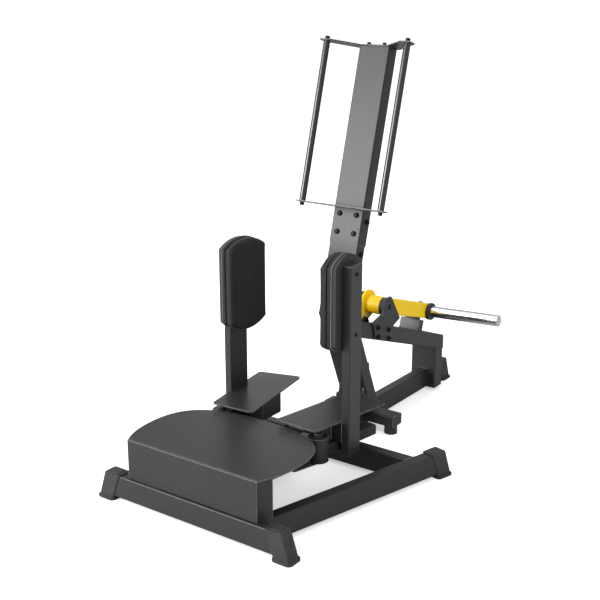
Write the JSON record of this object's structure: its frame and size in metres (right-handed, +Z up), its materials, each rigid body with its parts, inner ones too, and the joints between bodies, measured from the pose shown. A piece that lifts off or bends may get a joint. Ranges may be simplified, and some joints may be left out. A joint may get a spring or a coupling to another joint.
{
  "type": "plate-loaded standing hip abductor",
  "caption": "Standing hip machine with a leaning handle column, a step deck, swinging footplates with thigh pads, and a plate-loaded weight lever behind.",
  "frame": {"origin": "on the floor, at the middle of the object's overall box in X and Y", "axes": "+X to the user's right, +Y from the step deck to the rear, +Z up"},
  "size_m": [1.0724, 1.8574, 1.6012],
  "materials": {
    "frame_paint": "satin powder coat, near black",
    "handle_paint": "satin powder coat on round bar",
    "lever_paint": "gloss yellow powder coat",
    "chrome": "polished chrome plating",
    "hardware": "blackened steel fasteners",
    "rubber": "matt moulded rubber",
    "upholstery": "grained vinyl over foam",
    "pad_board": "painted plywood backing board",
    "bearing_plastic": "matt nylon spacer rings"
  },
  "bodies": {
    "frame": {"bell_crank_stand": "frame_paint", "bracket_bolts": "hardware", "bracket_supports": "frame_paint", "column_bolts": "hardware", "column_core": "frame_paint", "column_foot": "frame_paint", "deck_front_panel": "frame_paint", "deck_supports": "frame_paint", "deck_top_plate": "frame_paint", "foot_caps": "rubber", "front_crossmember": "frame_paint", "front_spine": "frame_paint", "handle_bolts": "hardware", "handle_low_plate": "frame_paint", "handle_top_plate": "frame_paint", "handlebars": "handle_paint", "left_side_rail": "frame_paint", "lever_axle": "hardware", "lever_bearings": "bearing_plastic", "lever_brackets": "frame_paint", "lever_rest": "frame_paint", "lower_column": "frame_paint", "mid_crossmember": "frame_paint", "outrigger_feet": "rubber", "outrigger_tubes": "frame_paint", "pivot_brackets": "frame_paint", "pivot_spindles": "frame_paint", "rear_spine": "frame_paint", "rear_upright": "frame_paint", "rest_bumper": "rubber", "right_side_rail": "frame_paint", "tail_tube": "frame_paint", "top_beam": "frame_paint", "upper_column": "frame_paint", "yoke_guides": "frame_paint"},
    "right_arm": {"right_arm_hub": "frame_paint", "right_arm_tube": "frame_paint", "right_footplate": "frame_paint", "right_pad_board": "pad_board", "right_pad_bolts": "hardware", "right_pad_cushion": "upholstery", "right_pad_post": "frame_paint", "right_plate_cradle": "frame_paint"},
    "left_arm": {"left_arm_hub": "frame_paint", "left_arm_tube": "frame_paint", "left_footplate": "frame_paint", "left_pad_board": "pad_board", "left_pad_bolts": "hardware", "left_pad_cushion": "upholstery", "left_pad_post": "frame_paint", "left_plate_cradle": "frame_paint"},
    "drive_yoke": {"drive_yoke": "frame_paint"},
    "bell_crank": {"bell_crank": "frame_paint"},
    "weight_lever": {"lever_arm": "lever_paint", "lever_bolts": "hardware", "lever_crank": "lever_paint", "pivot_sleeve": "lever_paint", "plate_horn": "chrome", "horn_collar": "rubber"},
    "drop_link": {"drop_link": "frame_paint"}
  },
  "joints": [
    {"name": "right_arm_swing", "type": "hinge", "parent": "frame", "child": "right_arm", "pos_m": [0.222, -0.46225, 0.165], "axis": [0, 0, -1], "range_deg": [0, 30]},
    {"name": "left_arm_swing", "type": "hinge", "parent": "frame", "child": "left_arm", "pos_m": [-0.222, -0.46225, 0.165], "axis": [0, 0, 1], "range_deg": [0, 30]},
    {"name": "drive_yoke_slide", "type": "slide", "parent": "frame", "child": "drive_yoke", "axis": [0, 1, 0], "range_m": [0, 0.0435]},
    {"name": "bell_crank_turn", "type": "hinge", "parent": "frame", "child": "bell_crank", "pos_m": [-0.034, 0.22775, 0.25], "axis": [1, 0, 0], "range_deg": [0, 33]},
    {"name": "weight_lever_lift", "type": "hinge", "parent": "frame", "child": "weight_lever", "pos_m": [0, 0.27275, 0.513], "axis": [1, 0, 0], "range_deg": [0, 19]},
    {"name": "drop_link_swing", "type": "hinge", "parent": "weight_lever", "child": "drop_link", "pos_m": [-0.022, 0.18775, 0.453], "axis": [1, 0, 0], "range_deg": [-23.6, 0]}
  ],
  "couplings": [
    {"joint": "left_arm_swing", "follows": "right_arm_swing", "ratio": 1},
    {"joint": "drive_yoke_slide", "follows": "right_arm_swing", "m_per_rad": 0.0825},
    {"joint": "bell_crank_turn", "follows": "right_arm_swing", "ratio": 1.095},
    {"joint": "weight_lever_lift", "follows": "right_arm_swing", "ratio": 0.63},
    {"joint": "drop_link_swing", "follows": "right_arm_swing", "ratio": -0.78}
  ]
}
